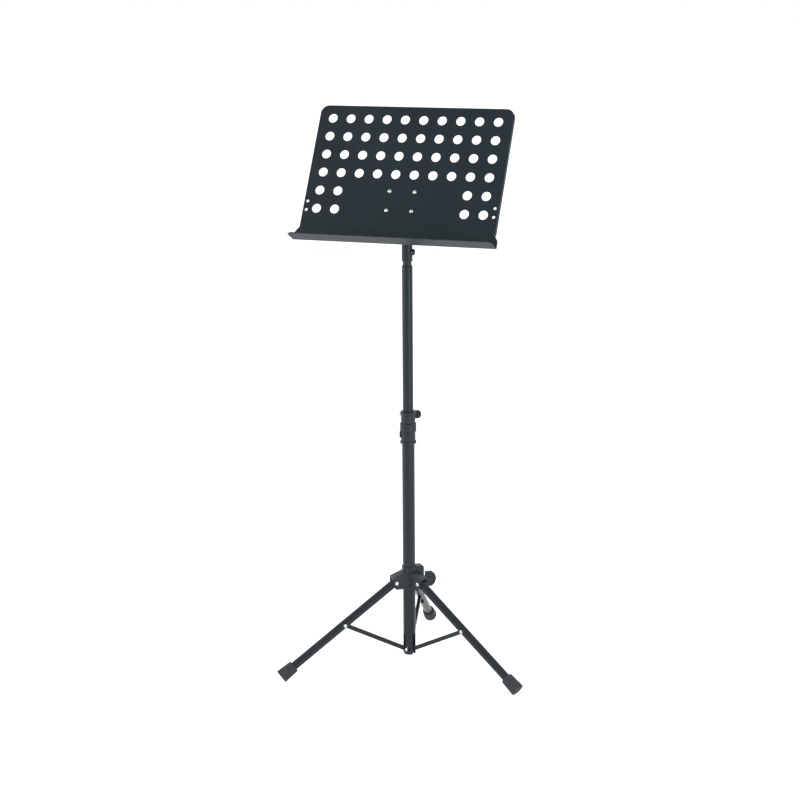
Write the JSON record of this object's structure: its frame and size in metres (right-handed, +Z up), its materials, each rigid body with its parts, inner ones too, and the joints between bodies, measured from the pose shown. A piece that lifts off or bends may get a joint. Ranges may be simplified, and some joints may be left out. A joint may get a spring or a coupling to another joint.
{
  "type": "music stand",
  "caption": "Folding tripod music stand with a perforated sheet-metal desk that tilts and turns on a telescopic pole.",
  "frame": {"origin": "pole axis at floor level, in the middle of the three feet", "axes": "+Z up along the pole; the desk faces -Y and +X is to its reader's right"},
  "size_m": [0.5761, 0.5561, 1.3366],
  "materials": {
    "black_powder_coat": "fine textured satin",
    "black_plastic": "moulded satin",
    "rubber": "matt",
    "bright_steel": "zinc plated",
    "friction_washer": "plain"
  },
  "bodies": {
    "pole": {"lower_tube": "black_powder_coat", "pole_foot": "black_plastic", "anchor_rivets": "bright_steel", "clutch_body": "black_plastic", "clutch_liner": "friction_washer", "clutch_nut": "bright_steel"},
    "clutch_screw": {"clutch_bolt": "bright_steel", "clutch_knob": "black_plastic"},
    "mast": {"upper_tube": "black_powder_coat", "pole_spigot": "black_plastic", "guide_bush": "black_plastic"},
    "post": {"desk_post": "black_powder_coat", "tilt_head": "black_powder_coat", "post_bush": "bright_steel"},
    "locking_screw": {"post_screw": "black_plastic"},
    "desk": {"desk_plate": "black_powder_coat", "desk_bracket": "black_powder_coat", "bracket_screws": "bright_steel", "bracket_nuts": "bright_steel", "tilt_bolt": "bright_steel", "tilt_nut": "bright_steel", "tilt_washers": "friction_washer"},
    "hub": {"hub_body": "black_plastic", "hub_pins": "bright_steel", "hub_nut": "bright_steel", "hub_shoe": "friction_washer"},
    "hub_screw": {"hub_bolt": "bright_steel", "hub_knob": "black_plastic"},
    "leg_rear": {"leg_rear": "black_powder_coat", "foot_rear": "rubber", "pin_rear": "bright_steel"},
    "brace_rear": {"brace_rear": "black_powder_coat"},
    "leg_left": {"leg_left": "black_powder_coat", "foot_left": "rubber", "pin_left": "bright_steel"},
    "brace_left": {"brace_left": "black_powder_coat"},
    "leg_right": {"leg_right": "black_powder_coat", "foot_right": "rubber", "pin_right": "bright_steel"},
    "brace_right": {"brace_right": "black_powder_coat"}
  },
  "joints": [
    {"name": "hub_slide", "type": "slide", "parent": "pole", "child": "hub", "axis": [0, 0, 1], "range_m": [0, 0.15693]},
    {"name": "leg_rear_fold", "type": "hinge", "parent": "hub", "child": "leg_rear", "pos_m": [-0.00681, 0.03504, 0.21395], "axis": [-0.9816, -0.1908, 0], "range_deg": [0, 49.35]},
    {"name": "brace_rear_fold", "type": "hinge", "parent": "leg_rear", "child": "brace_rear", "pos_m": [-0.03174, 0.16328, 0.12349], "axis": [0.9816, 0.1908, 0], "range_deg": [0, 98.22]},
    {"name": "leg_left_fold", "type": "hinge", "parent": "hub", "child": "leg_left", "pos_m": [-0.02694, -0.02342, 0.21395], "axis": [0.6561, -0.7547, 0], "range_deg": [0, 49.35]},
    {"name": "brace_left_fold", "type": "hinge", "parent": "leg_left", "child": "brace_left", "pos_m": [-0.12554, -0.10913, 0.12349], "axis": [-0.6561, 0.7547, 0], "range_deg": [0, 98.22]},
    {"name": "leg_right_fold", "type": "hinge", "parent": "hub", "child": "leg_right", "pos_m": [0.03376, -0.01162, 0.21395], "axis": [0.3256, 0.9455, 0], "range_deg": [0, 49.35]},
    {"name": "brace_right_fold", "type": "hinge", "parent": "leg_right", "child": "brace_right", "pos_m": [0.15728, -0.05416, 0.12349], "axis": [-0.3256, -0.9455, 0], "range_deg": [0, 98.22]},
    {"name": "hub_screw_turn", "type": "hinge", "parent": "hub", "child": "hub_screw", "pos_m": [0, 0, 0.21295], "axis": [0.7547, 0.6561, 0], "continuous": true},
    {"name": "mast_slide", "type": "slide", "parent": "pole", "child": "mast", "axis": [0, 0, 1], "range_m": [-0.3, 0.11]},
    {"name": "clutch_screw_turn", "type": "hinge", "parent": "pole", "child": "clutch_screw", "pos_m": [-0.00586, 0.01802, 0.6202], "axis": [0.9511, 0.309, 0], "continuous": true},
    {"name": "desk_turn", "type": "hinge", "parent": "mast", "child": "post", "pos_m": [0, 0, 0.9884], "axis": [0, 0, 1], "continuous": true},
    {"name": "locking_screw_turn", "type": "hinge", "parent": "post", "child": "locking_screw", "pos_m": [0, 0, 1.0099], "axis": [1, 0, 0], "continuous": true},
    {"name": "desk_tilt", "type": "hinge", "parent": "post", "child": "desk", "pos_m": [0, 0, 1.1089], "axis": [1, 0, 0], "range_deg": [-61, 28]}
  ],
  "couplings": [
    {"joint": "leg_rear_fold", "follows": "hub_slide", "rad_per_m": 5.4831},
    {"joint": "brace_rear_fold", "follows": "hub_slide", "rad_per_m": 10.919},
    {"joint": "leg_left_fold", "follows": "hub_slide", "rad_per_m": 5.4831},
    {"joint": "brace_left_fold", "follows": "hub_slide", "rad_per_m": 10.919},
    {"joint": "leg_right_fold", "follows": "hub_slide", "rad_per_m": 5.4831},
    {"joint": "brace_right_fold", "follows": "hub_slide", "rad_per_m": 10.919}
  ]
}
